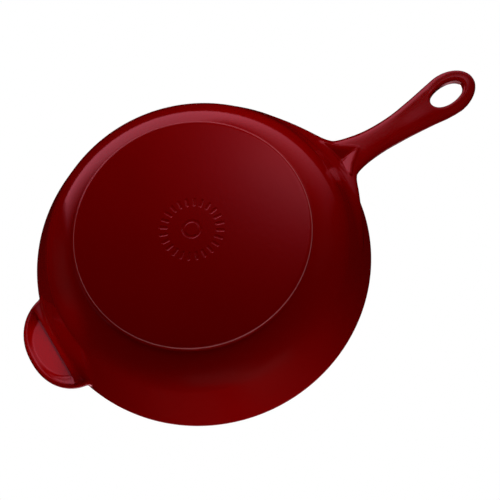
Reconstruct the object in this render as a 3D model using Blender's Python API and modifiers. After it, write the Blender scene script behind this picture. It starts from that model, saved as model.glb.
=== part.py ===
"""Enamelled cast-iron skillet: one iron casting and the enamel coats fused to it.

Metres, +Z up. The skillet stands on its base at z = 0 with its mouth up. The origin is
the centre of the base, the long handle points along +X and the helper handle along -X.

Every coat follows the same section of the pan at its own depth below the finished
surface, so the section is written once, as a path of straight runs and arcs, and each
solid is turned from that path moved inwards by its depth.
"""

import math

import bmesh
import bpy
from mathutils import Vector

# Bowl
RIM_RADIUS = 0.1330
HEIGHT = 0.0615
BASE_DISC_RADIUS = 0.0860
BASE_EDGE_RADIUS = 0.0015
BASE_EDGE_TURN = math.radians(80)
FOOT_FILLET_RADIUS = 0.0020
SHOULDER_RISE = math.radians(12)
WALL_RISE = math.radians(62)
WALL_THICKNESS = 0.0046
FLOOR_THICKNESS = 0.0052
RIM_COLOUR_TURN = math.radians(38)

# Depths below the finished surface
ENAMEL = 0.0005
GAP = 0.0003
IRON_DEPTH = ENAMEL + GAP

# Long handle, as (x, half width, half thickness, height of its middle)
HANDLE_STATIONS = (
    (0.1180, 0.0340, 0.0037, 0.0496),
    (0.1270, 0.0300, 0.0041, 0.0506),
    (0.1330, 0.0225, 0.0047, 0.0515),
    (0.1380, 0.0181, 0.0053, 0.0528),
    (0.1440, 0.0156, 0.0058, 0.0543),
    (0.1520, 0.0138, 0.0059, 0.0560),
    (0.1620, 0.0124, 0.0059, 0.0584),
    (0.1740, 0.0117, 0.0057, 0.0606),
    (0.1860, 0.0119, 0.0054, 0.0624),
    (0.1980, 0.0126, 0.0051, 0.0634),
    (0.2100, 0.0140, 0.0048, 0.0636),
    (0.2220, 0.0156, 0.0046, 0.0637),
    (0.2340, 0.0175, 0.0045, 0.0637),
    (0.2400, 0.0184, 0.0044, 0.0631),
    (0.2450, 0.0186, 0.0044, 0.0622),
)
HANDLE_TIP_X = 0.2700
HANDLE_TIP_STEPS = 7
HANDLE_TIP_DROP = 0.0045
HANG_HOLE_CENTRE_X = 0.2445
HANG_HOLE_HALF_LENGTH = 0.0153
HANG_HOLE_HALF_WIDTH = 0.0088
HANG_HOLE_HEIGHT = 0.0622
HANG_HOLE_TILT = -0.09
HANG_HOLE_FLARE = ((0.0, 0.0), (0.0022, 0.0002), (0.0036, 0.0010), (0.0048, 0.0024), (0.0090, 0.0086))
ROOT_PIT_TIP = (0.1470, 0.0, 0.0492)
ROOT_PIT_CORNER = (0.1315, 0.0115, 0.0470)
ROOT_PIT_BOTTOM = (0.1350, 0.0, 0.0525)

# Helper handle: a squared ellipse in plan, and (distance from the axis, half thickness,
# height of its middle)
HELPER_CENTRE_X = 0.1180
HELPER_TIP_X = 0.1545
HELPER_HALF_WIDTH = 0.0400
HELPER_SQUARENESS = 2.2
HELPER_STATIONS = (
    (0.1180, 0.0038, 0.0534),
    (0.1270, 0.0041, 0.0537),
    (0.1320, 0.0043, 0.0541),
    (0.1380, 0.0044, 0.0546),
    (0.1425, 0.0044, 0.0549),
    (0.1465, 0.0043, 0.0551),
    (0.1500, 0.0041, 0.0551),
    (0.1525, 0.0036, 0.0551),
    (0.1537, 0.0027, 0.0551),
    (0.1543, 0.0018, 0.0551),
)
# The pocket under it: how far in from the outline its mouth and its floor start, and a
# floor that gets deeper towards the wall
POCKET_LIP = 0.0034
POCKET_LIP_HEIGHT = 0.0507
POCKET_FLOOR_INSET = 0.0058
POCKET_FLOOR_HEIGHT = 0.0523
POCKET_FLOOR_SLOPE = 0.17
POCKET_INNER_X = 0.1326

# Resolution
TURN_STEPS = 48
RING_POINTS = 20
ARC_STEP = math.radians(15)
SQUARENESS = 2.4

CHERRY = (0.16, 0.004, 0.006, 1.0)
BLACK = (0.012, 0.012, 0.013, 1.0)
IRON_GREY = (0.11, 0.11, 0.115, 1.0)


def clear_scene():
    for obj in list(bpy.data.objects):
        bpy.data.objects.remove(obj, do_unlink=True)
    for collection in list(bpy.data.collections):
        bpy.data.collections.remove(collection)


def new_collection(name, hidden=False):
    collection = bpy.data.collections.new(name)
    collection.hide_render = hidden
    bpy.context.scene.collection.children.link(collection)
    return collection


def make_material(name, color, roughness, metallic=0.0, coat=0.0):
    material = bpy.data.materials.new(name)
    material.use_nodes = True
    shader = material.node_tree.nodes["Principled BSDF"]
    shader.inputs["Base Color"].default_value = color
    shader.inputs["Roughness"].default_value = roughness
    shader.inputs["Metallic"].default_value = metallic
    shader.inputs["Coat Weight"].default_value = coat
    return material


# ---------------------------------------------------------------- the section


def section_moves():
    """The section as (zone, kind, length or radius, turn), from the base's centre.

    The path runs out along the base, up the outside, over the rim and down the inside
    to the axis, with the solid on its left. A positive turn is to the left. The
    shoulder's radius and the wall's straight run are the pair that end at the rim.
    """
    rim = WALL_THICKNESS / 2
    sin_edge, cos_edge = math.sin(BASE_EDGE_TURN), math.cos(BASE_EDGE_TURN)
    sin_rise, cos_rise = math.sin(SHOULDER_RISE), math.cos(SHOULDER_RISE)
    sin_wall, cos_wall = math.sin(WALL_RISE), math.cos(WALL_RISE)
    flat = BASE_DISC_RADIUS - BASE_EDGE_RADIUS * sin_edge

    reach = RIM_RADIUS - rim * (1 - sin_wall) - BASE_DISC_RADIUS
    reach -= GAP * cos_edge + FOOT_FILLET_RADIUS * (sin_edge - sin_rise)
    climb = HEIGHT - rim * (1 + cos_wall) - BASE_EDGE_RADIUS * (1 - cos_edge)
    climb -= GAP * sin_edge + FOOT_FILLET_RADIUS * (cos_rise - cos_edge)
    across, up = sin_wall - sin_rise, cos_rise - cos_wall
    share = across * sin_wall - up * cos_wall
    shoulder = (reach * sin_wall - climb * cos_wall) / share
    straight = (across * climb - up * reach) / share

    inner_shoulder = shoulder - WALL_THICKNESS
    inner_drop = HEIGHT - rim * (1 - cos_wall) - FLOOR_THICKNESS
    inner_straight = (inner_drop - inner_shoulder * (1 - cos_wall)) / sin_wall
    gap_turn = GAP / rim
    top_turn = math.pi - 2 * (RIM_COLOUR_TURN + gap_turn)
    return (
        ("base", "run", flat, 0.0),
        ("base", "arc", BASE_EDGE_RADIUS, BASE_EDGE_TURN),
        (None, "run", GAP, 0.0),
        ("wall", "arc", FOOT_FILLET_RADIUS, SHOULDER_RISE - BASE_EDGE_TURN),
        ("wall", "arc", shoulder, WALL_RISE - SHOULDER_RISE),
        ("wall", "run", straight, 0.0),
        ("wall", "arc", rim, RIM_COLOUR_TURN),
        (None, "arc", rim, gap_turn),
        ("rim", "arc", rim, top_turn),
        (None, "arc", rim, gap_turn),
        ("inside", "arc", rim, RIM_COLOUR_TURN),
        ("inside", "run", inner_straight, 0.0),
        ("inside", "arc", inner_shoulder, -WALL_RISE),
        ("inside", "to_axis", 0.0, 0.0),
    )


def section_points(depth, first="base", last="inside"):
    """The (radius, height) points of the path, moved inwards by depth.

    They run from the start of the first zone to the end of the last.
    """
    moves = section_moves()
    zones = [zone for zone, _, _, _ in moves]
    start = zones.index(first)
    end = len(zones) - zones[::-1].index(last)
    x, z, heading = 0.0, depth, 0.0
    points = []
    for index, (_, kind, size, turn) in enumerate(moves[:end]):
        if index == start:
            points.append((x, z))
        if kind == "to_axis":
            stops = [(0.0, z)]
        elif kind == "run":
            stops = [(x + size * math.cos(heading), z + size * math.sin(heading))]
        else:
            radius = size - depth if turn > 0 else size + depth
            stops = arc_stops(x, z, heading, radius, turn)
            heading += turn
        x, z = stops[-1]
        if index >= start:
            points.extend(stops)
    return points


def arc_stops(x, z, heading, radius, turn):
    """The points along an arc that leaves (x, z) on this heading."""
    side = math.copysign(radius, turn)
    centre_x = x - side * math.sin(heading)
    centre_z = z + side * math.cos(heading)
    steps = math.ceil(abs(turn) / ARC_STEP)
    angles = [heading + turn * step / steps for step in range(1, steps + 1)]
    return [(centre_x + side * math.sin(a), centre_z - side * math.cos(a)) for a in angles]


# ---------------------------------------------------------------- making solids


def link_mesh(name, mesh, collection, material=None):
    obj = bpy.data.objects.new(name, mesh)
    collection.objects.link(obj)
    if material:
        mesh.materials.append(material)
    if collection.hide_render:
        obj.hide_render = True
        obj.display_type = "WIRE"
    return obj


def turned(name, outline, collection, material=None):
    """A solid of revolution about Z from a closed outline of (radius, height) points.

    An outline that starts and ends on the axis is closed by the turning itself.
    """
    points = list(reversed(outline))
    on_axis = abs(points[0][0]) < 1e-9 and abs(points[-1][0]) < 1e-9
    mesh = bpy.data.meshes.new(name)
    edges = [(i, i + 1) for i in range(len(points) - 1)]
    if not on_axis:
        edges.append((len(points) - 1, 0))
    mesh.from_pydata([(r, 0.0, z) for r, z in points], edges, [])
    obj = link_mesh(name, mesh, collection, material)
    screw = obj.modifiers.new("turn", "SCREW")
    screw.steps = TURN_STEPS
    screw.render_steps = TURN_STEPS
    screw.use_merge_vertices = True
    screw.merge_threshold = 0.00001
    return obj


def coat(name, zone, collection, material):
    """A coat of enamel over one zone of the section."""
    surface = section_points(0.0, zone, zone)
    underside = section_points(ENAMEL, zone, zone)[::-1]
    ends_on_axis = surface[-1][0] == 0.0
    outline = underside + surface if ends_on_axis else surface + underside
    return turned(name, outline, collection, material)


def ring(x, half_width, half_thickness, height):
    """One closed section of a handle, in the plane at x: a squared ellipse."""
    points = []
    power = 2 / SQUARENESS
    for i in range(RING_POINTS):
        angle = 2 * math.pi * i / RING_POINTS
        across = math.copysign(abs(math.cos(angle)) ** power, math.cos(angle))
        upward = math.copysign(abs(math.sin(angle)) ** power, math.sin(angle))
        points.append((x, across * half_width, height + upward * half_thickness))
    return points


def lofted(name, stations, depth, side, collection, material=None):
    """A handle: its stations' rings joined, and closed at both ends.

    The rings shrink by depth. A side of -1 puts the handle along -X.
    """
    mesh_data = bmesh.new()
    rings = []
    for x, half_width, half_thickness, height in stations:
        points = ring(x, half_width - depth, half_thickness - depth, height)
        rings.append([mesh_data.verts.new((side * px, side * py, pz)) for px, py, pz in points])
    for first, second in zip(rings, rings[1:]):
        for i in range(RING_POINTS):
            j = (i + 1) % RING_POINTS
            mesh_data.faces.new((first[i], first[j], second[j], second[i]))
    mesh_data.faces.new(rings[0][::-1])
    mesh_data.faces.new(rings[-1])
    bmesh.ops.recalc_face_normals(mesh_data, faces=mesh_data.faces)
    mesh = bpy.data.meshes.new(name)
    mesh_data.to_mesh(mesh)
    mesh_data.free()
    return link_mesh(name, mesh, collection, material)


def rounded_end(stations, tip_x, steps, drop, depth):
    """The stations with a round end added, which reaches tip_x less depth."""
    last_x, half_width, half_thickness, height = stations[-1]
    reach = tip_x - depth - last_x
    end = []
    for step in range(1, steps + 1):
        angle = 0.96 * math.pi / 2 * step / steps
        along = math.sin(angle) / math.sin(0.96 * math.pi / 2)
        shrink = math.cos(angle)
        end.append(
            (
                last_x + reach * along,
                depth + (half_width - depth) * shrink,
                depth + (half_thickness - depth) * shrink**0.35,
                height - drop * along,
            )
        )
    return stations + tuple(end)


def boolean(obj, operation, other):
    modifier = obj.modifiers.new(operation.lower(), "BOOLEAN")
    modifier.operation = operation
    modifier.object = other
    modifier.solver = "EXACT"


# ---------------------------------------------------------------- the handles


def stacked(name, outlines, collection):
    """A solid from closed outlines of (x, y, z) points, each joined to the next."""
    mesh_data = bmesh.new()
    layers = [[mesh_data.verts.new(point) for point in outline] for outline in outlines]
    for first, second in zip(layers, layers[1:]):
        for i in range(len(first)):
            j = (i + 1) % len(first)
            mesh_data.faces.new((first[i], first[j], second[j], second[i]))
    mesh_data.faces.new(layers[0][::-1])
    mesh_data.faces.new(layers[-1])
    bmesh.ops.recalc_face_normals(mesh_data, faces=mesh_data.faces)
    mesh = bpy.data.meshes.new(name)
    mesh_data.to_mesh(mesh)
    mesh_data.free()
    return link_mesh(name, mesh, collection)


def hang_hole(depth, cutters):
    """The oval hole in the handle's end, wider by depth, whose edges flare outwards."""
    below = [(-rise, flare) for rise, flare in reversed(HANG_HOLE_FLARE[1:])]
    outlines = []
    for rise, flare in (*below, *HANG_HOLE_FLARE):
        outline = []
        for i in range(24):
            angle = 2 * math.pi * i / 24
            half_length = HANG_HOLE_HALF_LENGTH + depth + flare
            half_width = HANG_HOLE_HALF_WIDTH + depth + flare
            x = HANG_HOLE_CENTRE_X + half_length * math.cos(angle)
            tilt = HANG_HOLE_TILT * (x - HANG_HOLE_CENTRE_X)
            outline.append((x, half_width * math.sin(angle), HANG_HOLE_HEIGHT + rise + tilt))
        outlines.append(outline)
    return stacked(f"hang_hole_{depth * 1e4:.0f}", outlines, cutters)


def root_pit(depth, cutters):
    """The three-sided pit under the handle's root, deepest near the wall.

    It is a pyramid whose corners run on past the handle's underside.
    """
    run_on = 1.6
    tip_x, _, tip_z = ROOT_PIT_TIP
    wall_x, half_width, wall_z = ROOT_PIT_CORNER
    bottom_x, _, bottom_z = ROOT_PIT_BOTTOM
    bottom = Vector((bottom_x, 0.0, bottom_z + depth))
    corners = (
        Vector((tip_x + 2 * depth, 0.0, tip_z)),
        Vector((wall_x - depth, half_width + 2 * depth, wall_z)),
        Vector((wall_x - depth, -half_width - 2 * depth, wall_z)),
    )
    mesh_data = bmesh.new()
    points = [mesh_data.verts.new(bottom + run_on * (corner - bottom)) for corner in corners]
    points.append(mesh_data.verts.new(bottom))
    for face in ((0, 1, 2), (0, 1, 3), (1, 2, 3), (2, 0, 3)):
        mesh_data.faces.new([points[i] for i in face])
    bmesh.ops.recalc_face_normals(mesh_data, faces=mesh_data.faces)
    name = f"root_pit_{depth * 1e4:.0f}"
    mesh = bpy.data.meshes.new(name)
    mesh_data.to_mesh(mesh)
    mesh_data.free()
    return link_mesh(name, mesh, cutters)


def squared_ellipse(share, squareness):
    """How wide a squared ellipse is at this share of its length, as a share of its width."""
    return (1 - share**squareness) ** (1 / squareness)


def pocket_plan(inset, depth):
    """The pocket's D-shaped outline, as (distance from the axis, across) points."""
    reach = HELPER_TIP_X - inset + depth - HELPER_CENTRE_X
    half_width = HELPER_HALF_WIDTH - inset + depth
    inner = (POCKET_INNER_X - depth - HELPER_CENTRE_X) / reach
    side = []
    for i in range(10):
        share = 1 - (1 - inner) * (i / 9) ** 2
        across = half_width * squared_ellipse(share, HELPER_SQUARENESS)
        side.append((HELPER_CENTRE_X + share * reach, across))
    return side[::-1] + [(along, -across) for along, across in side[1:]]


def pocket(depth, cutters):
    """The pocket under the helper handle, grown by depth."""
    mouth = pocket_plan(POCKET_LIP, depth)
    floor = []
    for along, across in pocket_plan(POCKET_FLOOR_INSET, depth):
        inward = HELPER_TIP_X - POCKET_FLOOR_INSET - along
        height = POCKET_FLOOR_HEIGHT + POCKET_FLOOR_SLOPE * inward + depth
        floor.append((-along, across, height))
    outlines = [[(-along, across, z) for along, across in mouth] for z in (0.03, POCKET_LIP_HEIGHT)]
    return stacked(f"pocket_{depth * 1e4:.0f}", outlines + [floor], cutters)


def long_handle(name, depth, collection, cutters, material=None):
    stations = rounded_end(
        HANDLE_STATIONS, HANDLE_TIP_X, HANDLE_TIP_STEPS, HANDLE_TIP_DROP, depth
    )
    handle = lofted(name, stations, depth, 1, collection, material)
    boolean(handle, "DIFFERENCE", hang_hole(depth, cutters))
    boolean(handle, "DIFFERENCE", root_pit(depth, cutters))
    return handle


def helper_handle(name, depth, collection, cutters, material=None):
    reach = HELPER_TIP_X - HELPER_CENTRE_X
    stations = []
    for x, half_thickness, height in HELPER_STATIONS:
        share = squared_ellipse((x - HELPER_CENTRE_X) / reach, HELPER_SQUARENESS)
        inward = depth * (x - HELPER_CENTRE_X) / reach
        stations.append((x - inward, HELPER_HALF_WIDTH * share, half_thickness, height))
    handle = lofted(name, stations, depth, -1, collection, material)
    boolean(handle, "DIFFERENCE", pocket(depth, cutters))
    return handle


# ---------------------------------------------------------------- the skillet


def filled_bowl(name, depth, collection):
    """The bowl as a solid lump up to its rim and beyond, with no hollow."""
    outline = section_points(depth, "base", "wall")
    lip = 2 * HEIGHT
    outline.append((outline[-1][0], lip))
    outline.append((0.0, lip))
    return turned(name, outline, collection)


def build():
    clear_scene()
    parts = new_collection("skillet")
    cutters = new_collection("cutters", hidden=True)
    red = make_material("cherry_enamel", CHERRY, 0.12, coat=1.0)
    black = make_material("black_enamel", BLACK, 0.55)
    grey = make_material("cast_iron", IRON_GREY, 0.6, metallic=0.8)

    iron = turned("iron_casting", section_points(IRON_DEPTH), parts, grey)
    mid_wall = filled_bowl("mid_wall", WALL_THICKNESS / 2, cutters)
    for root in (
        long_handle("iron_long_handle", IRON_DEPTH, cutters, cutters),
        helper_handle("iron_helper_handle", IRON_DEPTH, cutters, cutters),
    ):
        boolean(root, "DIFFERENCE", mid_wall)
        boolean(iron, "UNION", root)

    coat("base_enamel", "base", parts, red)
    coat("rim_enamel", "rim", parts, black)
    coat("interior_enamel", "inside", parts, black)

    wall = coat("wall_enamel", "wall", parts, red)
    clear_of_wall = filled_bowl("clear_of_wall", -GAP, cutters)
    for name, make in (("long_handle", long_handle), ("helper_handle", helper_handle)):
        sleeve = make(f"{name}_enamel", 0.0, parts, cutters, red)
        under_coat = make(f"{name}_under_coat", ENAMEL, cutters, cutters)
        boolean(sleeve, "DIFFERENCE", under_coat)
        boolean(sleeve, "DIFFERENCE", clear_of_wall)
        boolean(wall, "DIFFERENCE", under_coat)

    for obj in parts.objects:
        obj.data.shade_smooth()
        obj.data.set_sharp_from_angle(angle=math.radians(35))


build()
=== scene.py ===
"""The enamelled cast-iron skillet's looks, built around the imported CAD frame.

The cherry-red outside, the handles included, is one smooth surface: the zero level of a
distance-like function that blends the bowl with both handles. It is meshed on a grid
that follows the bowl, so the mesh is as regular as a turned one where the bowl is round.
The base, the rim and the inside are turned meshes of the same section as the CAD's.
"""

import math

import bpy
import numpy as np
from mathutils import Matrix, Vector


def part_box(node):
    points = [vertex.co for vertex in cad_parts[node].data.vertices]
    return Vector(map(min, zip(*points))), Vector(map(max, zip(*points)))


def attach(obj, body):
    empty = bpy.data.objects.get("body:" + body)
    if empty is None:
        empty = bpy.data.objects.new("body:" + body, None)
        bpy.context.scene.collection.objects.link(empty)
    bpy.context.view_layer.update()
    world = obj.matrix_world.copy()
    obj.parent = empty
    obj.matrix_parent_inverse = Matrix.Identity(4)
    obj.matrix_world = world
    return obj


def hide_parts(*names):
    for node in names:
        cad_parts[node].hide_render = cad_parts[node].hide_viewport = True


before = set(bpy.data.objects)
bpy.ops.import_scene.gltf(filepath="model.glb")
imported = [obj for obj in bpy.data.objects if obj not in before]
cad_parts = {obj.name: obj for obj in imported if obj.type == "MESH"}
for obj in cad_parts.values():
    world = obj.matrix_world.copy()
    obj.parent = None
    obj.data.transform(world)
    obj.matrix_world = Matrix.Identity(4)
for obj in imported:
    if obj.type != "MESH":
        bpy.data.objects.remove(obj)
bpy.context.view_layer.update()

# ------------------------------------------------------------------ dimensions

RIM_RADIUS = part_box("wall_enamel")[1].y
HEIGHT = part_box("rim_enamel")[1].z
BASE_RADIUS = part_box("base_enamel")[1].y
HANDLE_TIP_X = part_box("long_handle_enamel")[1].x
HELPER_TIP_X = -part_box("helper_handle_enamel")[0].x

# The section, as in the CAD
BASE_EDGE_RADIUS = 0.0015
BASE_EDGE_TURN = math.radians(80)
FOOT_FILLET_RADIUS = 0.0020
SHOULDER_RISE = math.radians(12)
WALL_RISE = math.radians(62)
WALL_THICKNESS = 0.0046
FLOOR_THICKNESS = 0.0052
RIM_COLOUR_TURN = math.radians(38)
ENAMEL = 0.0005
GAP = 0.0003

# Long handle: (x, half width, half thickness, height of its middle)
HANDLE_STATIONS = (
    (0.118, 0.0340, 0.0037, 0.0496),
    (0.127, 0.0300, 0.0041, 0.0506),
    (0.133, 0.0225, 0.0047, 0.0515),
    (0.138, 0.0181, 0.0053, 0.0528),
    (0.144, 0.0156, 0.0058, 0.0543),
    (0.152, 0.0138, 0.0059, 0.0560),
    (0.162, 0.0124, 0.0059, 0.0584),
    (0.174, 0.0117, 0.0057, 0.0606),
    (0.186, 0.0119, 0.0054, 0.0624),
    (0.198, 0.0126, 0.0051, 0.0634),
    (0.210, 0.0140, 0.0048, 0.0636),
    (0.222, 0.0156, 0.0046, 0.0637),
    (0.234, 0.0175, 0.0045, 0.0637),
    (0.245, 0.0186, 0.0044, 0.0622),
    (0.270, 0.0186, 0.0044, 0.0577),
)
# Its ring's rounded end, how square its section is, and the hang hole
RING_START_X = 0.245
HANDLE_SQUARENESS = 2.4
RING_SQUARER = 1.0
RING_SQUARER_X = (0.232, 0.258)
HOLE_CENTRE_X = 0.2445
HOLE_HALF_LENGTH = 0.0153
HOLE_HALF_WIDTH = 0.0088
HOLE_SOFTNESS = 0.0032

# The three-sided pit under its root, and the low bead along the two outer sides
PIT_TIP = (0.1470, 0.0, 0.0492)
PIT_CORNER = (0.1315, 0.0115, 0.0470)
PIT_BOTTOM = (0.1350, 0.0, 0.0525)
PIT_CREASE = 0.0012
PIT_RIDGE = 0.0016
PIT_BEAD = 0.0009
PIT_BEAD_PLACE = 0.0010
PIT_BEAD_WIDTH = 0.0013

# Helper handle: (distance from the axis, half thickness, height of its middle)
HELPER_STATIONS = (
    (0.1180, 0.0038, 0.0534),
    (0.1270, 0.0041, 0.0537),
    (0.1320, 0.0043, 0.0541),
    (0.1380, 0.0044, 0.0546),
    (0.1425, 0.0044, 0.0549),
    (0.1465, 0.0043, 0.0551),
    (0.1545, 0.0042, 0.0551),
)
HELPER_CENTRE_X = 0.1180
HELPER_HALF_WIDTH = 0.0400
HELPER_SQUARENESS = 2.2
HELPER_EDGE_RADIUS = 0.0040
HELPER_FILLET = 0.0030
POCKET_LIP = 0.0034
POCKET_LIP_HEIGHT = 0.0507
POCKET_FLOOR_INSET = 0.0058
POCKET_FLOOR_HEIGHT = 0.0523
POCKET_FLOOR_SLOPE = 0.17
POCKET_INNER_X = 0.1326
POCKET_CREASE = 0.0008
POCKET_RIDGE = 0.0014

# The mark pressed into the base: a ring of short bars round a small circle
MARK_DEPTH = 0.0003
MARK_EDGE = 0.0005
MARK_BARS = 24
MARK_RADIUS = 0.0205
MARK_BAR_LENGTH = 0.0042
MARK_HALF_STROKE = 0.0009
MARK_CIRCLE = 0.0060
MARK_ROW = 0.0004
MARK_SLOPE_STEP = 1e-5
PLAIN_ROW = 0.0025

# The painted highlight: a paler line painted along the base's edge, standing in for the edge's
# reflected bright line
PAINTED_HIGHLIGHT_WIDTH = 0.0009
PAINTED_HIGHLIGHT_FADE = (0.1, 0.6)
PAINTED_HIGHLIGHT_COLOR = (0.55, 0.12, 0.13)

# Fillets where the handles meet the wall: wide below, tight under the rim
FILLET_BELOW = 0.0130
FILLET_ABOVE = 0.0025
FILLET_FROM_Z = 0.0500
FILLET_TO_Z = 0.0560

# The handles count only further out than this on their own side
HANDLE_SIDE_X = 0.1

# The red surface's grid. Columns over half a turn: (up to this angle, how many)
GRID_COLUMNS = ((17.0, 49), (146.0, 76), (180.0, 58))
# Rows: on the wall's straight run, on its arcs, where they follow the root of the
# radius, and how many go on above where the red ends
WALL_ROW = 0.0011
ARC_ROW_SHARE = 0.3
ARC_ROW_SCALE = 0.0003
ROWS_ABOVE = 9
# Layers off the bowl: fine near the wall, a little wider along the handles
NEAR_LAYERS = 29
NEAR_LAYER = 0.0011
FAR_LAYERS = 91
FAR_LAYER = 0.0012
FAR_START = 0.0314

# How the red surface's points are evened out and put on the zero level
SETTLE_ROUNDS = 12
SETTLE_SHARE = 0.6
LONGEST_MOVE = 0.0008
SLOPE_STEP = 2e-5
ON_BOWL = 1e-7

# Rows and columns of the turned skins
BASE_COLUMNS = 512
SKIN_COLUMNS = 256
BASE_EDGE_ROW = 0.0002
RIM_ROW = 0.0003
INSIDE_ROW = 0.0020

# Guards against dividing by nothing
SMALL = 1e-6
TINY = 1e-9


# ------------------------------------------------------------------ small maths


def smooth_step(low, high, value):
    t = np.clip((value - low) / (high - low), 0.0, 1.0)
    return t * t * (3 - 2 * t)


def smooth_union(a, b, softness):
    overlap = np.maximum(softness - np.abs(a - b), 0.0) / softness
    return np.minimum(a, b) - overlap * overlap * softness / 4


def smooth_cut(a, cutter, softness):
    """a with the cutter's inside taken away."""
    return -smooth_union(-a, cutter, softness)


def cubic_curve(knots, values):
    """A natural cubic spline, as a function that gives (value, slope)."""
    knots, values = np.array(knots), np.array(values)
    gaps, count = np.diff(knots), len(knots)
    slopes = np.diff(values) / gaps
    system, right = np.eye(count), np.zeros(count)
    for i in range(1, count - 1):
        system[i, i - 1 : i + 2] = gaps[i - 1], 2 * (gaps[i - 1] + gaps[i]), gaps[i]
        right[i] = 6 * (slopes[i] - slopes[i - 1])
    bend = np.linalg.solve(system, right)

    def curve(x):
        x = np.clip(x, knots[0], knots[-1])
        i = np.clip(np.searchsorted(knots, x) - 1, 0, count - 2)
        gap, before, after = gaps[i], x - knots[i], knots[i + 1] - x
        start = values[i] / gap - bend[i] * gap / 6
        end = values[i + 1] / gap - bend[i + 1] * gap / 6
        value = (bend[i] * after**3 + bend[i + 1] * before**3) / (6 * gap)
        slope = (bend[i + 1] * before**2 - bend[i] * after**2) / (2 * gap)
        return value + start * after + end * before, slope + end - start

    return curve


# ------------------------------------------------------------------ the section


def section_moves():
    """The section as (zone, kind, length or radius, turn), from the base's centre.

    It runs out along the base, up the outside, over the rim and down the inside. The
    shoulder's radius and the wall's straight run are the pair that end at the rim.
    """
    rim = WALL_THICKNESS / 2
    sin_edge, cos_edge = math.sin(BASE_EDGE_TURN), math.cos(BASE_EDGE_TURN)
    sin_rise, cos_rise = math.sin(SHOULDER_RISE), math.cos(SHOULDER_RISE)
    sin_wall, cos_wall = math.sin(WALL_RISE), math.cos(WALL_RISE)
    flat = BASE_RADIUS - BASE_EDGE_RADIUS * sin_edge

    reach = RIM_RADIUS - rim * (1 - sin_wall) - BASE_RADIUS
    reach -= GAP * cos_edge + FOOT_FILLET_RADIUS * (sin_edge - sin_rise)
    climb = HEIGHT - rim * (1 + cos_wall) - BASE_EDGE_RADIUS * (1 - cos_edge)
    climb -= GAP * sin_edge + FOOT_FILLET_RADIUS * (cos_rise - cos_edge)
    across, up = sin_wall - sin_rise, cos_rise - cos_wall
    share = across * sin_wall - up * cos_wall
    shoulder = (reach * sin_wall - climb * cos_wall) / share
    straight = (across * climb - up * reach) / share

    inner_shoulder = shoulder - WALL_THICKNESS
    inner_drop = HEIGHT - rim * (1 - cos_wall) - FLOOR_THICKNESS
    inner_straight = (inner_drop - inner_shoulder * (1 - cos_wall)) / sin_wall
    gap_turn = GAP / rim
    top_turn = math.pi - 2 * (RIM_COLOUR_TURN + gap_turn)
    return (
        ("base", "run", flat, 0.0),
        ("base", "arc", BASE_EDGE_RADIUS, BASE_EDGE_TURN),
        (None, "run", GAP, 0.0),
        ("wall", "arc", FOOT_FILLET_RADIUS, SHOULDER_RISE - BASE_EDGE_TURN),
        ("wall", "arc", shoulder, WALL_RISE - SHOULDER_RISE),
        ("wall", "run", straight, 0.0),
        ("wall", "arc", rim, RIM_COLOUR_TURN),
        (None, "arc", rim, gap_turn),
        ("rim", "arc", rim, top_turn),
        (None, "arc", rim, gap_turn),
        ("inside", "arc", rim, RIM_COLOUR_TURN),
        ("inside", "run", inner_straight, 0.0),
        ("inside", "arc", inner_shoulder, -WALL_RISE),
        ("inside", "to_axis", 0.0, 0.0),
    )


def section_pieces():
    """The section's pieces as (zone, kind, start, heading, size, turn, arc centre)."""
    x, z, heading = 0.0, 0.0, 0.0
    pieces = []
    for zone, kind, size, turn in section_moves():
        size = x if kind == "to_axis" else size
        side = math.copysign(size, turn)
        centre = (x - side * math.sin(heading), z + side * math.cos(heading))
        pieces.append((zone, kind, (x, z), heading, size, turn, centre))
        if kind == "arc":
            heading += turn
            x = centre[0] + side * math.sin(heading)
            z = centre[1] - side * math.cos(heading)
        elif kind == "run":
            x, z = x + size * math.cos(heading), z + size * math.sin(heading)
        else:
            x = 0.0
    return pieces


SECTION = section_pieces()
# From the base's centre to where the red ends, just past the rim's widest part
OUTER_PIECES = SECTION[:7]


def zone_stations(zone, spacing):
    """(radius, height, heading) along one zone, about the spacing apart.

    The spacing is a function of the radius of curvature, which is endless on a run.
    """
    stations = []
    for piece_zone, kind, (x, z), heading, size, turn, centre in SECTION:
        if piece_zone != zone:
            continue
        if kind == "to_axis":
            heading = math.pi
        length, curve = (abs(size * turn), size) if kind == "arc" else (size, math.inf)
        steps = max(1, round(length / spacing(curve)))
        shares = np.linspace(0.0, 1.0, steps + 1)[1 if stations else 0 :]
        for share in shares:
            if kind == "arc":
                along, side = heading + turn * share, math.copysign(size, turn)
                radius = centre[0] + side * math.sin(along)
                level = centre[1] - side * math.cos(along)
            else:
                along, run = heading, size * share
                radius, level = x + run * math.cos(along), z + run * math.sin(along)
            stations.append((max(radius, 0.0), level, along))
    return stations


def outer_profile(z):
    """The radius of the bowl's outside at height z, and the sine of its rise there."""
    radius = np.full(np.shape(z), RIM_RADIUS)
    sine = np.ones(np.shape(z))
    for _, kind, (x0, z0), heading, size, turn, centre in OUTER_PIECES:
        here = z >= z0
        if kind == "run" and heading > 0:
            radius = np.where(here, x0 + (z - z0) / math.tan(heading), radius)
            sine = np.where(here, math.sin(heading), sine)
        elif kind == "arc":
            side = math.copysign(1.0, turn)
            rise = np.clip((centre[1] - z) / size, -1.0, 1.0)
            radius = np.where(here, centre[0] + side * size * np.sqrt(1 - rise**2), radius)
            sine = np.where(here, np.sqrt(1 - rise**2), sine)
    above = z > HEIGHT - WALL_THICKNESS / 2
    return np.where(above, RIM_RADIUS, radius), np.where(above, 1.0, sine)


# ------------------------------------------------------------------ the red body's function

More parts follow.
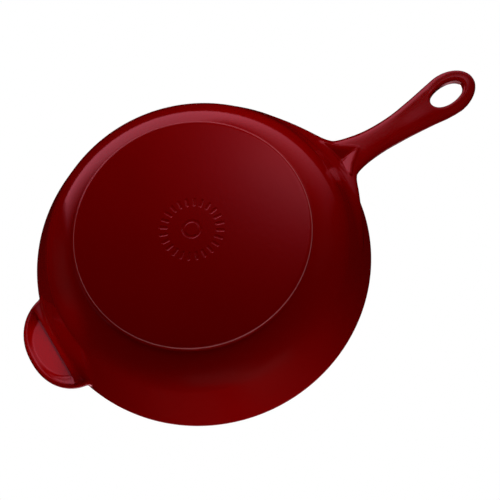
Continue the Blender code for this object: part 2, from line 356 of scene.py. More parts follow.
HANDLE_X, HANDLE_W, HANDLE_T, HANDLE_Z = zip(*HANDLE_STATIONS)
handle_width = cubic_curve(HANDLE_X[:-1], HANDLE_W[:-1])
handle_thickness = cubic_curve(HANDLE_X, HANDLE_T)
handle_height = cubic_curve(HANDLE_X, HANDLE_Z)
HELPER_X, HELPER_T, HELPER_Z = zip(*HELPER_STATIONS)
helper_thickness = cubic_curve(HELPER_X, HELPER_T)
helper_height = cubic_curve(HELPER_X, HELPER_Z)


def bowl_function(x, y, z):
    radius, sine = outer_profile(z)
    return (np.hypot(x, y) - radius) * sine


def long_handle_function(x, y, z):
    """About the distance to the handle: a squared ellipse at each x, round at the end."""
    p = HANDLE_SQUARENESS + RING_SQUARER * smooth_step(*RING_SQUARER_X, x)
    width, widening = handle_width(x)
    half, thickening = handle_thickness(x)
    middle, rise = handle_height(x)
    past = np.maximum(x - RING_START_X, 0.0) / (HANDLE_TIP_X - RING_START_X)
    side = np.maximum(np.hypot(y / width, past), SMALL)
    up = (z - middle) / half
    level = (side**p + np.abs(up) ** p) ** (1 / p) + TINY
    reach = HANDLE_TIP_X - RING_START_X
    by_side, by_up = (side / level) ** (p - 1), (np.abs(up) / level) ** (p - 1)
    slope_y = by_side * y / (side * width * width)
    slope_z = by_up * np.sign(up) / half
    slope_x = by_side * (past / reach - y * y * widening / width**3) / side
    slope_x -= by_up * (np.abs(up) * thickening + np.sign(up) * rise) / half
    return (level - 1) / np.sqrt(slope_x**2 + slope_y**2 + slope_z**2 + SMALL)


def hang_hole_function(x, y):
    along, across = (x - HOLE_CENTRE_X) / HOLE_HALF_LENGTH, y / HOLE_HALF_WIDTH
    level = np.hypot(along, across) + TINY
    slope = np.hypot(along / HOLE_HALF_LENGTH, across / HOLE_HALF_WIDTH) / level
    return (level - 1) / (slope + SMALL)


def pit_planes():
    """Each face of the pit as (unit normal pointing out of it, offset)."""
    bottom = np.array(PIT_BOTTOM)
    tip, left = np.array(PIT_TIP), np.array(PIT_CORNER)
    right = left * (1, -1, 1)
    inside = (tip + left + right) / 3 - bottom
    planes = []
    for first, second in ((tip, left), (left, right), (right, tip)):
        normal = np.cross(first - bottom, second - bottom)
        normal *= -np.sign(normal @ inside) / np.linalg.norm(normal)
        planes.append((normal, normal @ bottom))
    return planes


PIT_PLANES = pit_planes()


def pit_function(x, y, z):
    """The pit, and the low bead along its two outer sides."""
    faces = [n[0] * x + n[1] * y + n[2] * z - offset for n, offset in PIT_PLANES]
    sides = -smooth_union(-faces[0], -faces[2], PIT_CREASE)
    bead = PIT_BEAD * np.exp(-(((sides - PIT_BEAD_PLACE) / PIT_BEAD_WIDTH) ** 2))
    bead = bead * smooth_step(0.0, PIT_BEAD_WIDTH, -faces[1])
    return -smooth_union(-sides, -faces[1], PIT_CREASE), bead


def helper_plan(out, y):
    """About the distance to the helper handle's outline, seen from above."""
    e = HELPER_SQUARENESS
    reach = HELPER_TIP_X - HELPER_CENTRE_X
    along = np.maximum(out - HELPER_CENTRE_X, 0.0) / reach
    across = np.abs(y) / HELPER_HALF_WIDTH
    level = (along**e + across**e) ** (1 / e) + TINY
    slope_x = (along / level) ** (e - 1) / reach
    slope_y = (across / level) ** (e - 1) / HELPER_HALF_WIDTH
    return (level - 1) / (np.hypot(slope_x, slope_y) + SMALL)


def rounded_meeting(a, b, radius):
    """Where both are negative, with the edge between them rounded."""
    corner = np.hypot(np.maximum(a + radius, 0.0), np.maximum(b + radius, 0.0))
    return corner + np.minimum(np.maximum(a, b) + radius, 0.0) - radius


def helper_function(x, y, z):
    plan = helper_plan(-x, y)
    half, middle = helper_thickness(-x)[0], helper_height(-x)[0]
    slab = rounded_meeting(plan, np.abs(z - middle) - half, HELPER_EDGE_RADIUS)
    draft = (POCKET_FLOOR_INSET - POCKET_LIP) / (POCKET_FLOOR_HEIGHT - POCKET_LIP_HEIGHT)
    sides = (plan + POCKET_LIP + draft * (z - POCKET_LIP_HEIGHT)) / math.hypot(1.0, draft)
    sides = -smooth_union(-sides, -(x + POCKET_INNER_X), 2 * POCKET_CREASE)
    inward = HELPER_TIP_X - POCKET_FLOOR_INSET + x
    floor = z - POCKET_FLOOR_HEIGHT - POCKET_FLOOR_SLOPE * inward
    pocket = rounded_meeting(sides, floor / math.hypot(1.0, POCKET_FLOOR_SLOPE), POCKET_CREASE)
    return slab, pocket


def red_body(points):
    """Negative inside the red body. Its zero level is the surface that shows."""
    x, y, z = points[..., 0], points[..., 1], points[..., 2]
    body = bowl_function(x, y, z)
    tightness = smooth_step(FILLET_FROM_Z, FILLET_TO_Z, z)
    fillet = FILLET_BELOW + (FILLET_ABOVE - FILLET_BELOW) * tightness
    handle = smooth_cut(long_handle_function(x, y, z), hang_hole_function(x, y), HOLE_SOFTNESS)
    pit, bead = pit_function(x, y, z)
    long_side = smooth_cut(smooth_union(body, handle, fillet) - bead, pit, PIT_RIDGE)
    slab, pocket = helper_function(x, y, z)
    short_side = smooth_cut(smooth_union(body, slab, HELPER_FILLET), pocket, POCKET_RIDGE)
    short_or_body = np.where(x < -HANDLE_SIDE_X, short_side, body)
    return np.where(x > HANDLE_SIDE_X, long_side, short_or_body)


def red_slope(points):
    slope = np.empty_like(points)
    for axis in range(3):
        shift = np.zeros(3)
        shift[axis] = SLOPE_STEP
        slope[..., axis] = red_body(points + shift) - red_body(points - shift)
    return slope / (2 * SLOPE_STEP)


# ------------------------------------------------------------------ meshing


def surface_nets(values):
    """Cells that the zero level crosses, a point in each, and the quads that join them.

    values is a grid whose first axis goes round and closes on itself. A point is given
    in grid coordinates.
    """
    count = values.shape[0]
    grid = np.concatenate([values, values[:1]])
    inside = grid < 0
    cells = tuple(n - 1 for n in grid.shape)
    total = np.zeros(cells + (3,))
    crossings = np.zeros(cells)
    quads = []
    number = np.arange(np.prod(cells)).reshape(cells)
    for axis in range(3):
        others = [a for a in range(3) if a != axis]
        low = np.take(grid, range(grid.shape[axis] - 1), axis)
        high = np.take(grid, range(1, grid.shape[axis]), axis)
        crosses = (low < 0) != (high < 0)
        share = np.where(crosses, low / np.where(crosses, low - high, 1.0), 0.0)
        place = np.stack(np.meshgrid(*(np.arange(n) for n in low.shape), indexing="ij"), -1)
        place = place.astype(float)
        place[..., axis] += share
        weight = crosses.astype(float)
        for first in (0, 1):
            for second in (0, 1):
                part = [slice(None)] * 3
                part[others[0]] = slice(first, first + cells[others[0]])
                part[others[1]] = slice(second, second + cells[others[1]])
                part = tuple(part)
                total += place[part] * weight[part][..., None]
                crossings += weight[part]
        found = np.argwhere(crosses)
        if axis != 0:
            found = found[found[:, 0] < count]
        keep = np.ones(len(found), bool)
        for other in others:
            if other != 0:
                keep &= (found[:, other] > 0) & (found[:, other] < cells[other])
        found = found[keep]
        corners = []
        for first, second in ((0, 0), (1, 0), (1, 1), (0, 1)):
            corner = found.copy()
            corner[:, others[0]] -= first
            corner[:, others[1]] -= second
            corner[:, 0] %= count
            corners.append(number[tuple(corner.T)])
        quad = np.stack(corners, 1)
        leaves = inside[tuple(found.T)]
        if axis != 1:
            leaves = ~leaves
        quad[leaves] = quad[leaves][:, ::-1]
        quads.append(quad)
    quads = np.concatenate(quads)
    used, quads = np.unique(quads, return_inverse=True)
    points = total.reshape(-1, 3)[used] / crossings.reshape(-1)[used][:, None]
    cell = np.stack(np.unravel_index(used, cells), 1)
    return cell, points, quads.reshape(-1, 4)


def between(rows):
    """The grid lines around rows of points: their middles, and one beyond each end."""
    middles = (rows[1:] + rows[:-1]) / 2
    return np.concatenate([[2 * rows[0] - middles[0]], middles, [2 * rows[-1] - middles[-1]]])


def sides_of(quads):
    """Each quad's four sides, as pairs of points."""
    return np.concatenate([quads[:, [i, (i + 1) % 4]] for i in range(4)])


def add_object(name, data):
    added = bpy.data.objects.new(name, data)
    bpy.context.scene.collection.objects.link(added)
    return added


def mesh_piece(name, points, faces, normals, material):
    mesh = bpy.data.meshes.new(name)
    mesh.from_pydata(points.tolist(), [], [list(face) for face in faces])
    mesh.shade_smooth()
    mesh.normals_split_custom_set_from_vertices(normals.tolist())
    mesh.materials.append(material)
    return add_object(name, mesh)


def closed_skin(name, points, faces, normals, material):
    """A skin as thick as the enamel: the surface, a copy of it inside, and its edges."""
    count = len(points)
    sides = sides_of(faces)
    key = np.sort(sides, 1) @ (1, count)
    _, first, uses = np.unique(key, return_index=True, return_counts=True)
    edge = sides[first[uses == 1]]
    band = np.stack([edge[:, 1], edge[:, 0], edge[:, 0] + count, edge[:, 1] + count], 1)
    all_points = np.concatenate([points, points - normals * ENAMEL])
    all_faces = np.concatenate([faces, faces[:, ::-1] + count, band])
    all_normals = np.concatenate([normals, -normals])
    return mesh_piece(name, all_points, all_faces, all_normals, material)


def angle_rows():
    """The angles of the mesh's columns: close at both handles, wider between them."""
    start, parts = 0.0, []
    for end, count in GRID_COLUMNS:
        end = math.radians(end)
        parts.append(start + np.arange(0.5, count) / count * (end - start))
        start = end
    half = np.concatenate(parts)
    return np.concatenate([half, 2 * math.pi - half[::-1]])


def wall_spacing(curve):
    if curve == math.inf:
        return WALL_ROW
    return ARC_ROW_SHARE * math.sqrt(curve * ARC_ROW_SCALE)


def height_rows():
    """The heights of the rows: up the wall to where the red ends, and on above it."""
    wall = np.array([z for _, z, _ in zone_stations("wall", wall_spacing)])
    above = wall[-1] + WALL_ROW * np.arange(1, ROWS_ABOVE + 1)
    return wall, np.concatenate([wall, above])


def layer_lines():
    """The distances off the bowl of the grid's layers. The bowl is in the first gap."""
    near = (np.arange(NEAR_LAYERS) - 0.5) * NEAR_LAYER
    far = FAR_START + np.arange(FAR_LAYERS) * FAR_LAYER
    return np.concatenate([near, far])


def red_mesh(material):
    """The red surface of the wall and both handles, as one closed skin."""
    angles = angle_rows()
    angle_lines = between(angles)[:-1]
    wall_rows, rows = height_rows()
    row_lines = between(rows)
    offset_lines = layer_lines()

    radius = outer_profile(row_lines)[0]
    distance = radius[:, None] + offset_lines[None, :]
    grid = np.empty((len(angles), len(row_lines), len(offset_lines), 3))
    grid[..., 0] = np.cos(angle_lines)[:, None, None] * distance
    grid[..., 1] = np.sin(angle_lines)[:, None, None] * distance
    grid[..., 2] = row_lines[None, :, None]
    cell, place, quads = surface_nets(red_body(grid))

    turn = np.concatenate([angle_lines, angle_lines[:1] + 2 * math.pi])
    angle = np.interp(place[:, 0], np.arange(len(turn)), turn)
    z = np.interp(place[:, 1], np.arange(len(row_lines)), row_lines)
    offset = np.interp(place[:, 2], np.arange(len(offset_lines)), offset_lines)
    on_bowl = cell[:, 2] == 0
    row = cell[:, 1]
    level = on_bowl & (row < len(rows))
    z[level] = rows[row[level]]
    distance = outer_profile(z)[0] + offset
    points = np.stack([np.cos(angle) * distance, np.sin(angle) * distance, z], 1)

    last = len(wall_rows) - 1
    unwanted = on_bowl & (row > last)
    quads = quads[~unwanted[quads].any(1)]
    used, quads = np.unique(quads, return_inverse=True)
    quads = quads.reshape(-1, 4)
    points, on_bowl, row, offset = points[used], on_bowl[used], row[used], offset[used]
    fixed = on_bowl & ((row == 0) | (row == last))
    points = settle(points, quads, fixed, on_bowl & (np.abs(offset) < ON_BOWL))
    normals = red_slope(points)
    normals /= np.linalg.norm(normals, axis=1)[:, None]
    return closed_skin("exterior_enamel", points, quads, normals, material)


def settle(points, quads, fixed, round_bowl):
    """Slides the points along the surface until they are evenly spaced, and onto it."""
    sides = sides_of(quads)
    sides = np.concatenate([sides, sides[:, ::-1]])
    uses = np.bincount(sides[:, 0], minlength=len(points))[:, None]
    free = ~fixed & ~round_bowl
    for _ in range(SETTLE_ROUNDS):
        middle = np.zeros_like(points)
        for axis in range(3):
            middle[:, axis] = np.bincount(
                sides[:, 0], weights=points[sides[:, 1], axis], minlength=len(points)
            )
        middle /= uses
        moved = points + SETTLE_SHARE * (middle - points)
        points = np.where(free[:, None], moved, points)
        points = onto_surface(points, ~fixed, 2)
    return onto_surface(points, ~fixed, 4)


def onto_surface(points, free, rounds):
    """Moves the free points on to the zero level, along its slope."""
    for _ in range(rounds):
        slope = red_slope(points)
        value = red_body(points)
        step = value[:, None] * slope / np.sum(slope**2, 1)[:, None]
        length = np.linalg.norm(step, axis=1)[:, None]
        step *= np.minimum(1.0, LONGEST_MOVE / np.maximum(length, TINY))
        points = points - np.where(free[:, None], step, 0.0)
    return points


def base_spacing(curve):
    return MARK_ROW if curve == math.inf else BASE_EDGE_ROW


def rim_spacing(curve):
    """Close round the rim's small radius, wider on the rest of the inside."""
    return RIM_ROW if curve < WALL_THICKNESS else INSIDE_ROW


def marked(radius):
    """Whether the base's mark reaches a radius."""
    to_circle = abs(radius - MARK_CIRCLE)
    to_bars = abs(radius - MARK_RADIUS) - MARK_BAR_LENGTH / 2
    return min(to_circle, to_bars) < MARK_HALF_STROKE + MARK_EDGE + MARK_ROW


def thinned(stations):
    """The stations without most of the plain flat's rows."""
    kept = []
    for station in stations:
        plain = station[2] == 0.0 and not marked(station[0])
        if not plain or not kept or station[0] - kept[-1][0] >= PLAIN_ROW:
            kept.append(station)
    return kept


def turned_skin(name, zone, spacing, columns, material, relief=None):
    """A closed turned skin over one zone of the section.

    The base starts and the inside ends with a flat face on the axis.
    """
    stations = [s for s in zone_stations(zone, spacing) if s[0] > 0]
    stations = np.array(thinned(stations) if relief else stations)
    radius, height, heading = stations.T
    rows = len(radius)
    angle = 2 * math.pi * np.arange(columns) / columns
    round_x, round_y = np.cos(angle), np.sin(angle)

    def turn(out, up):
        level = np.repeat(up[:, None], columns, 1)
        return np.stack([np.outer(out, round_x), np.outer(out, round_y), level], 2)

    normals = turn(np.sin(heading), -np.cos(heading))
    points = turn(radius, height)
    under, under_normals = points - normals * ENAMEL, -normals
    if relief:
        points, normals = relief(points, normals)

    count = rows * columns
    here = np.arange(columns)
    after = (here + 1) % columns
    strips = [
        np.stack([i + here, i + after, i + after + columns, i + here + columns], 1)
        for i in range(0, count - columns, columns)
    ]
    faces = np.concatenate(strips)
    faces = np.concatenate([faces, faces[:, ::-1] + count])
    last = count - columns
    start_band = np.stack([after, here, here + count, after + count], 1)
    end_band = np.stack([last + here, last + after, last + after + count, last + here + count], 1)
    faces = faces.tolist()
    if zone == "base":
        faces += [here[::-1].tolist(), (here + count).tolist()]
    else:
        faces += start_band.tolist()
    if zone == "inside":
        faces += [(last + here).tolist(), (last + here + count)[::-1].tolist()]
    else:
        faces += end_band.tolist()
    all_points = np.concatenate([points.reshape(-1, 3), under.reshape(-1, 3)])
    all_normals = np.concatenate([normals.reshape(-1, 3), under_normals.reshape(-1, 3)])
    return mesh_piece(name, all_points, faces, all_normals, material)


def mark_depth(x, y):
    """How deep the base's mark is pressed in."""
    out, angle = np.hypot(x, y), np.arctan2(y, x)
    pitch = 2 * math.pi / MARK_BARS
    across = out * ((angle / pitch) % 1.0 - 0.5) * pitch
    along = np.maximum(np.abs(out - MARK_RADIUS) - MARK_BAR_LENGTH / 2, 0.0)
    bars = np.hypot(along, across) - MARK_HALF_STROKE
    circle = np.abs(out - MARK_CIRCLE) - MARK_HALF_STROKE
    edge = np.minimum(bars, circle)
    return MARK_DEPTH * (1.0 - smooth_step(-MARK_EDGE, MARK_EDGE, edge))


def pressed_mark(points, normals):
    """The base's flat with the mark pressed in, and its normals."""
    x, y = points[..., 0], points[..., 1]
    step = MARK_SLOPE_STEP
    slope_x = (mark_depth(x + step, y) - mark_depth(x - step, y)) / (2 * step)
    slope_y = (mark_depth(x, y + step) - mark_depth(x, y - step)) / (2 * step)
    points, normals = points.copy(), normals.copy()
    points[..., 2] += mark_depth(x, y)
    normals[..., 0] += slope_x
    normals[..., 1] += slope_y
    return points, normals / np.linalg.norm(normals, axis=2)[..., None]


# ------------------------------------------------------------------ materials

# Each finish drifts between a darker and a lighter colour
DRIFT_STOPS = (0.3, 0.7)
CHERRY = ((0.27, 0.0001, 0.0002), (0.29, 0.0002, 0.0004))
BLACK = ((0.010, 0.010, 0.011), (0.018, 0.017, 0.017))
IRON = ((0.09, 0.09, 0.095), (0.15, 0.145, 0.14))


def new_material(name):
    material = bpy.data.materials.new(name)
    material.use_nodes = True
    return material, material.node_tree, material.node_tree.nodes["Principled BSDF"]


def noise(tree, scale, detail, roughness=0.5):
    coordinates = tree.nodes.new("ShaderNodeTexCoord")
    texture = tree.nodes.new("ShaderNodeTexNoise")
    texture.inputs["Scale"].default_value = scale
    texture.inputs["Detail"].default_value = detail
    texture.inputs["Roughness"].default_value = roughness
    tree.links.new(coordinates.outputs["Object"], texture.inputs["Vector"])
    return texture.outputs["Fac"]


def ramp(tree, value, stops):
    """The colour at a value between two stops, each a (place, colour)."""
    node = tree.nodes.new("ShaderNodeValToRGB")
    elements = node.color_ramp.elements
    for element, (place, color) in zip(elements, stops):
        element.position = place
        element.color = (*color, 1.0)
    tree.links.new(value, node.inputs["Fac"])
    return node.outputs["Color"]


def drifting_color(tree, colors, scale, detail):
    return ramp(tree, noise(tree, scale, detail), zip(DRIFT_STOPS, colors))


def bump(tree, height, distance, under=None):
    node = tree.nodes.new("ShaderNodeBump")
    node.inputs["Distance"].default_value = distance
    node.inputs["Strength"].default_value = 1.0
    tree.links.new(height, node.inputs["Height"])
    if under:
        tree.links.new(under, node.inputs["Normal"])
    return node.outputs["Normal"]


def painted_edge_highlight(tree, color):
    """The colour made paler along the base's edge: a painted highlight line where the edge
    mirrors light.
    """
    coordinates = tree.nodes.new("ShaderNodeTexCoord")
    out = tree.nodes.new("ShaderNodeVectorMath")
    out.operation = "LENGTH"
    tree.links.new(coordinates.outputs["Object"], out.inputs[0])
    across = tree.nodes.new("ShaderNodeMapRange")
    across.inputs["From Min"].default_value = BASE_RADIUS - PAINTED_HIGHLIGHT_WIDTH
    across.inputs["From Max"].default_value = BASE_RADIUS
    tree.links.new(out.outputs["Value"], across.inputs["Value"])
    stops = zip(PAINTED_HIGHLIGHT_FADE, ((0, 0, 0), (1, 1, 1)))
    share = ramp(tree, across.outputs["Result"], stops)
    mix = tree.nodes.new("ShaderNodeMix")
    mix.data_type = "RGBA"
    # Sockets 6 and 7, and output 2, are the colour ones among those of the same name
    tree.links.new(share, mix.inputs[0])
    tree.links.new(color, mix.inputs[6])
    mix.inputs[7].default_value = (*PAINTED_HIGHLIGHT_COLOR, 1.0)
    return mix.outputs[2]


def cherry_enamel(name, edge=False):
    """Glossy red enamel: a faint drift of depth, and the orange peel of a fired coat. With edge,
    a painted highlight line runs along the base's edge.
    """
    material, tree, shader = new_material(name)
    color = drifting_color(tree, CHERRY, scale=18.0, detail=3.0)
    # With edge, a painted highlight: a paler band along the base's edge
    color = painted_edge_highlight(tree, color) if edge else color
    tree.links.new(color, shader.inputs["Base Color"])
    peel = bump(tree, noise(tree, scale=300.0, detail=1.0), distance=0.00003)
    fine = noise(tree, scale=1200.0, detail=2.0)
    fine = bump(tree, fine, distance=0.000003, under=peel)
    tree.links.new(fine, shader.inputs["Normal"])
    shader.inputs["Roughness"].default_value = 0.10
    return material


def black_enamel(name, roughness, pebble):
    """Black enamel with fine pebbles, as high as is given."""
    material, tree, shader = new_material(name)
    color = drifting_color(tree, BLACK, scale=30.0, detail=4.0)
    tree.links.new(color, shader.inputs["Base Color"])
    pebbles = bump(tree, noise(tree, scale=700.0, detail=2.0), distance=pebble)
    tree.links.new(pebbles, shader.inputs["Normal"])
    shader.inputs["Roughness"].default_value = roughness
    return material


def bare_iron(name):
    """Sand-cast iron, hidden under the enamel."""
    material, tree, shader = new_material(name)
    color = drifting_color(tree, IRON, scale=60.0, detail=5.0)
    tree.links.new(color, shader.inputs["Base Color"])
    sand = noise(tree, scale=900.0, detail=4.0, roughness=0.7)
    sand = bump(tree, sand, distance=0.0002)
    tree.links.new(sand, shader.inputs["Normal"])
    shader.inputs["Metallic"].default_value = 0.8
    shader.inputs["Roughness"].default_value = 0.6
    return material


# ------------------------------------------------------------------ camera and light

CAMERA_PLACE = Vector((-0.2602, 1.3326, -3.5161)) * RIM_RADIUS
CAMERA_AHEAD = Vector((0.1218, -0.2850, 0.9507))
CAMERA_UP = Vector((0.5464, -0.7804, -0.3040))
LENS = 50.4
SENSOR_WIDTH = 36.0
CLIP_START = 0.01
MIDDLE = Vector((0.0, 0.0, HEIGHT / 2))
WORLD_STRENGTH = 0.001

FLOOR_REACH = 6.0
FLOOR_DROP = 0.0002
FLOOR_GREY = 0.22
FLOOR_ROUGHNESS = 0.7
FLOOR_GLOW = 0.68

# The sheets of light that the enamel mirrors. Directions are in degrees: the angle off
# the view axis, and the angle round it from the right.
SHEET_DISTANCE = 4.0
SHEET_STEP = 2.0
ARCH_COLOR = (1.0, 0.23, 0.33)
ARCH_STRENGTH = 2.5
ARCH_OFF_AXIS = (30.0, 106.0)
ARCH_ROUND = (28.0, 156.0)
# Where the arch begins and where it is full: (angle round the axis, angle off it)
ARCH_INNER_START = ((75, 50), (90, 66), (100, 58), (140, 60))
ARCH_INNER_FULL = ((75, 102), (90, 90), (100, 72), (125, 78), (145, 104))
ARCH_OUTER = (101.5, 103.5)
ARCH_RISE = (30.0, 90.0)
ARCH_END = (149.0, 153.0)
# A softer patch inside the arch, placed across the view axis
PATCH_STRENGTH = 0.7
PATCH_PLACE = (0.05, 0.70)
PATCH_SIZE = (0.155, 0.085)
LOW_COLOR = (1.0, 0.45, 0.52)
LOW_STRENGTH = 2.4
LOW_OFF_AXIS = (106.0, 154.0)
LOW_ROUND = (212.0, 346.0)
# The low strip starts furthest in at its middle, and fades in and out past its start
LOW_START = 110.0
LOW_CURVE = 0.0045
LOW_MIDDLE = 285.0
LOW_FADES = (0.0, 3.0, 18.0, 24.0)
LOW_ENDS = (214.0, 244.0, 310.0, 344.0)

# The soft light on the body: (angle off the view axis, angle round it, distance, share)
SOFT_LIGHTS = (
    (55.0, 65.0, 0.24, 0.165),
    (60.0, 25.0, 0.33, 0.035),
    (80.0, 60.0, 0.33, 0.12),
    (80.0, 120.0, 0.33, 0.14),
    (80.0, 180.0, 0.33, 0.15),
    (60.0, 276.0, 0.50, 0.115),
    (80.0, 300.0, 0.50, 0.17),
    (100.0, 262.0, 0.50, 0.12),
)

# What lights the pocket of the helper handle
POCKET_MIDDLE_INSET = 0.012
POCKET_MIDDLE = Vector((POCKET_MIDDLE_INSET - HELPER_TIP_X, 0.0, POCKET_FLOOR_HEIGHT))
HELPER_CARD_SPREAD = math.radians(80)
HELPER_CARD_DISTANCE = 0.10
HELPER_CARD_SIZE = (0.05, 0.10)
HELPER_CARD_POWER = 0.0036
HELPER_SPOT_DISTANCE = 0.3
HELPER_SPOT_POWER = 2.2
HELPER_SPOT_WAY = Vector((0.5, 0.0, -0.866))
HELPER_SPOT_REACH = 0.9
HELPER_SPOT_BLEND = 0.6
HELPER_SPOT_RADIUS = 0.01
HELPER_SPOT_SCALE = (1.0, 0.40, 1.0)

OVERHEAD_PLACE = Vector((0.05, -0.25, 1.4))
OVERHEAD_SIZE = 0.5
OVERHEAD_POWER = 14.0


def show_mix(tree, share, first, second, output):
    """Shows the first shader where the share is 0, and the second where it is 1."""
    mix = tree.nodes.new("ShaderNodeMixShader")
    tree.links.new(share, mix.inputs["Fac"])
    tree.links.new(first, mix.inputs[1])
    tree.links.new(second, mix.inputs[2])
    tree.links.new(mix.outputs["Shader"], tree.nodes[output].inputs["Surface"])


def camera_axes():
    """The camera's right, up and back."""
    back = -CAMERA_AHEAD.normalized()
    right = CAMERA_UP.cross(back).normalized()
    return right, back.cross(right), back


def make_camera():
    data = bpy.data.cameras.new("camera")
    data.lens = LENS
    data.sensor_width = SENSOR_WIDTH
    data.clip_start = CLIP_START
    camera = add_object("camera", data)
    right, up, back = camera_axes()
    turn = Matrix((right, up, back)).transposed().to_4x4()
    camera.matrix_world = Matrix.Translation(CAMERA_PLACE) @ turn
    bpy.context.scene.camera = camera


def make_world():
    """White to the camera, and next to no light on the object."""
    world = bpy.data.worlds.new("studio")
    world.use_nodes = True
    bpy.context.scene.world = world
    tree = world.node_tree
    seen = tree.nodes["Background"]
    seen.inputs["Color"].default_value = (1, 1, 1, 1)
    dim = tree.nodes.new("ShaderNodeBackground")
    dim.inputs["Color"].default_value = (1, 1, 1, 1)
    dim.inputs["Strength"].default_value = WORLD_STRENGTH
    share = tree.nodes.new("ShaderNodeLightPath").outputs["Is Camera Ray"]
    shaders = dim.outputs["Background"], seen.outputs["Background"]
    show_mix(tree, share, *shaders, "World Output")


def make_floor():
    """A pale floor that shows from above only, because the camera looks up from below."""
    corners = ((-1, -1), (1, -1), (1, 1), (-1, 1))
    points = [(FLOOR_REACH * x, FLOOR_REACH * y, -FLOOR_DROP) for x, y in corners]
    mesh = bpy.data.meshes.new("floor")
    mesh.from_pydata(points, [], [(0, 1, 2, 3)])
    floor = add_object("floor", mesh)
    material, tree, shader = new_material("floor")
    shader.inputs["Base Color"].default_value = (FLOOR_GREY, FLOOR_GREY, FLOOR_GREY, 1)
    shader.inputs["Roughness"].default_value = FLOOR_ROUGHNESS
    shader.inputs["Specular IOR Level"].default_value = 0.0
    shader.inputs["Emission Color"].default_value = (1, 1, 1, 1)
    shader.inputs["Emission Strength"].default_value = FLOOR_GLOW
    share = tree.nodes.new("ShaderNodeNewGeometry").outputs["Backfacing"]
    clear = tree.nodes.new("ShaderNodeBsdfTransparent")
    shaders = shader.outputs["BSDF"], clear.outputs["BSDF"]
    show_mix(tree, share, *shaders, "Material Output")
    mesh.materials.append(material)
    floor.visible_diffuse = False
    floor.visible_glossy = False
    floor.visible_transmission = False
    floor.visible_shadow = False
    return floor


def light_direction(off_axis, round_view):
    """A direction, given in degrees from the view axis and round it from the right."""
    off_axis, round_view = math.radians(off_axis), math.radians(round_view)
    right, up, back = camera_axes()
    side = right * math.cos(round_view) + up * math.sin(round_view)
    return side * math.sin(off_axis) + back * math.cos(off_axis)


def bell(fades, value):
    """Rises between the first two of the fades, and falls between the last two."""
    low, full_from, full_to, high = fades
    return smooth_step(low, full_from, value) * (1.0 - smooth_step(full_to, high, value))


def arch_glow(off_axis, round_view):
    """How bright the big overhead arch is in each direction."""
    inner_start = np.interp(round_view, *zip(*ARCH_INNER_START))
    inner_full = np.interp(round_view, *zip(*ARCH_INNER_FULL))
    arch = smooth_step(inner_start, inner_full, off_axis)
    arch = arch * (1.0 - smooth_step(*ARCH_OUTER, off_axis))
    rise = (round_view - ARCH_RISE[0]) / (ARCH_RISE[1] - ARCH_RISE[0])
    arch = arch * np.clip(rise, 0.0, 1.0)
    arch = arch * (1.0 - smooth_step(*ARCH_END, round_view))
    off_axis, round_view = np.radians(off_axis), np.radians(round_view)
    across = (np.sin(off_axis) * np.cos(round_view) - PATCH_PLACE[0]) / PATCH_SIZE[0]
    along = (np.sin(off_axis) * np.sin(round_view) - PATCH_PLACE[1]) / PATCH_SIZE[1]
    patch = PATCH_STRENGTH * np.exp(-(across**2) - along**2)
    return arch + patch * (off_axis < math.pi / 2)


def low_glow(off_axis, round_view):
    """How bright the low strip is, which the foot's fillet and the lower edges mirror."""
    start = LOW_START + LOW_CURVE * (round_view - LOW_MIDDLE) ** 2
    across = bell([start + fade for fade in LOW_FADES], off_axis)
    return across * bell(LOW_ENDS, round_view)


def light_sheet(name, off_axis, round_view, glow, color, strength):
    """A part of a big sphere round the object that shines inwards."""
    off_axis = np.arange(off_axis[0], off_axis[1] + SHEET_STEP / 2, SHEET_STEP)
    round_view = np.arange(round_view[0], round_view[1] + SHEET_STEP / 2, SHEET_STEP)
    points = [
        MIDDLE + light_direction(off, around) * SHEET_DISTANCE
        for off in off_axis
        for around in round_view
    ]
    wide = len(round_view)
    quads = [
        (i + j, i + j + 1, i + j + 1 + wide, i + j + wide)
        for i in range(0, (len(off_axis) - 1) * wide, wide)
        for j in range(wide - 1)
    ]
    mesh = bpy.data.meshes.new(name)
    mesh.from_pydata(points, [], quads)
    levels = mesh.attributes.new("glow", "FLOAT", "POINT")
    levels.data.foreach_set("value", glow(off_axis[:, None], round_view[None, :]).ravel())
    material = bpy.data.materials.new(name)
    material.use_nodes = True
    tree = material.node_tree
    tree.nodes.remove(tree.nodes["Principled BSDF"])
    level = tree.nodes.new("ShaderNodeAttribute")
    level.attribute_name = "glow"
    scale = tree.nodes.new("ShaderNodeMath")
    scale.operation = "MULTIPLY"
    scale.inputs[1].default_value = strength
    shine = tree.nodes.new("ShaderNodeEmission")
    shine.inputs["Color"].default_value = (*color, 1.0)
    tree.links.new(level.outputs["Fac"], scale.inputs[0])
    tree.links.new(scale.outputs["Value"], shine.inputs["Strength"])
    tree.links.new(shine.outputs["Emission"], tree.nodes["Material Output"].inputs["Surface"])
    mesh.materials.append(material)
    sheet = add_object(name, mesh)
    sheet.visible_camera = False
    sheet.visible_diffuse = False
    sheet.visible_shadow = False


def area_light(name, place, size, power):
    """A square light at a place in the world, facing the middle of the object."""
    data = bpy.data.lights.new(name, "AREA")
    data.size = size
    data.energy = power
    light = add_object(name, data)
    light.location = place
    light.rotation_mode = "QUATERNION"
    light.rotation_quaternion = (place - MIDDLE).to_track_quat("Z", "Y")
    light.visible_camera = False
    return light


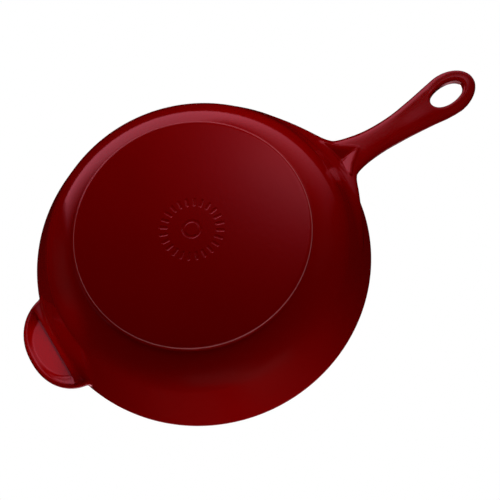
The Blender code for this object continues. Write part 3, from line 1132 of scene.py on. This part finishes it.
def helper_card():
    """A card that only the helper pocket's floor mirrors to the camera."""
    normal = Vector((POCKET_FLOOR_SLOPE, 0.0, -1.0)).normalized()
    view = (CAMERA_PLACE - POCKET_MIDDLE).normalized()
    toward = 2 * normal.dot(view) * normal - view
    place = POCKET_MIDDLE + toward * HELPER_CARD_DISTANCE
    card = area_light("helper_card", place, HELPER_CARD_SIZE[0], HELPER_CARD_POWER)
    card.data.shape = "RECTANGLE"
    card.data.size_y = HELPER_CARD_SIZE[1]
    card.data.color = ARCH_COLOR
    card.data.spread = HELPER_CARD_SPREAD
    card.visible_diffuse = False
    side = Vector((0.0, 1.0, 0.0)).cross(toward).normalized()
    axes = Matrix((side, toward.cross(side), toward)).transposed()
    card.rotation_quaternion = axes.to_quaternion()


def helper_spot():
    """A narrow light on the helper handle's pocket, which the wall faces away from."""
    data = bpy.data.lights.new("helper_spot", "SPOT")
    data.energy = HELPER_SPOT_POWER
    reach = HELPER_HALF_WIDTH * HELPER_SPOT_REACH
    data.spot_size = 2 * math.atan(reach / HELPER_SPOT_DISTANCE)
    data.spot_blend = HELPER_SPOT_BLEND
    data.shadow_soft_size = HELPER_SPOT_RADIUS
    spot = add_object("helper_spot", data)
    spot.location = POCKET_MIDDLE + HELPER_SPOT_WAY * HELPER_SPOT_DISTANCE
    spot.rotation_mode = "QUATERNION"
    spot.rotation_quaternion = HELPER_SPOT_WAY.to_track_quat("Z", "Y")
    spot.scale = HELPER_SPOT_SCALE
    spot.visible_glossy = False


def make_lights(floor):
    """All the lights. The soft ones don't light the floor, because most lie below it."""
    light_sheet("arch", ARCH_OFF_AXIS, ARCH_ROUND, arch_glow, ARCH_COLOR, ARCH_STRENGTH)
    light_sheet("low_strip", LOW_OFF_AXIS, LOW_ROUND, low_glow, LOW_COLOR, LOW_STRENGTH)
    all_but_floor = bpy.data.collections.new("all_but_floor")
    all_but_floor.objects.link(floor)
    all_but_floor.collection_objects[0].light_linking.link_state = "EXCLUDE"
    for off_axis, round_view, distance, share in SOFT_LIGHTS:
        place = MIDDLE + light_direction(off_axis, round_view) * distance
        power = share * 4 * math.pi * distance**2
        light = area_light("soft", place, distance / 2, power)
        light.visible_glossy = False
        light.light_linking.receiver_collection = all_but_floor
    helper_card()
    helper_spot()
    area_light("overhead", OVERHEAD_PLACE, OVERHEAD_SIZE, OVERHEAD_POWER)


# ------------------------------------------------------------------ build


def main():
    bpy.context.scene.view_settings.view_transform = "Standard"
    make_camera()
    make_world()
    make_lights(make_floor())

    red = cherry_enamel("cherry_enamel")
    body = red_mesh(red)
    # The base's red carries the painted highlight line along its edge
    base_red = cherry_enamel("base_cherry", edge=True)
    base = turned_skin("base_coat", "base", base_spacing, BASE_COLUMNS, base_red, pressed_mark)
    rim_black = black_enamel("rim_black", roughness=0.35, pebble=0.00002)
    rim = turned_skin("rim_coat", "rim", rim_spacing, SKIN_COLUMNS, rim_black)
    matte = black_enamel("interior_black", roughness=0.55, pebble=0.00006)
    inside = turned_skin("interior_coat", "inside", rim_spacing, SKIN_COLUMNS, matte)
    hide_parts("wall_enamel", "long_handle_enamel", "helper_handle_enamel")
    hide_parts("base_enamel")
    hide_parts("rim_enamel")
    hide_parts("interior_enamel")
    for piece in (body, base, rim, inside):
        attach(piece, "root")

    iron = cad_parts["iron_casting"]
    iron.data.materials.clear()
    iron.data.materials.append(bare_iron("bare_iron"))


main()
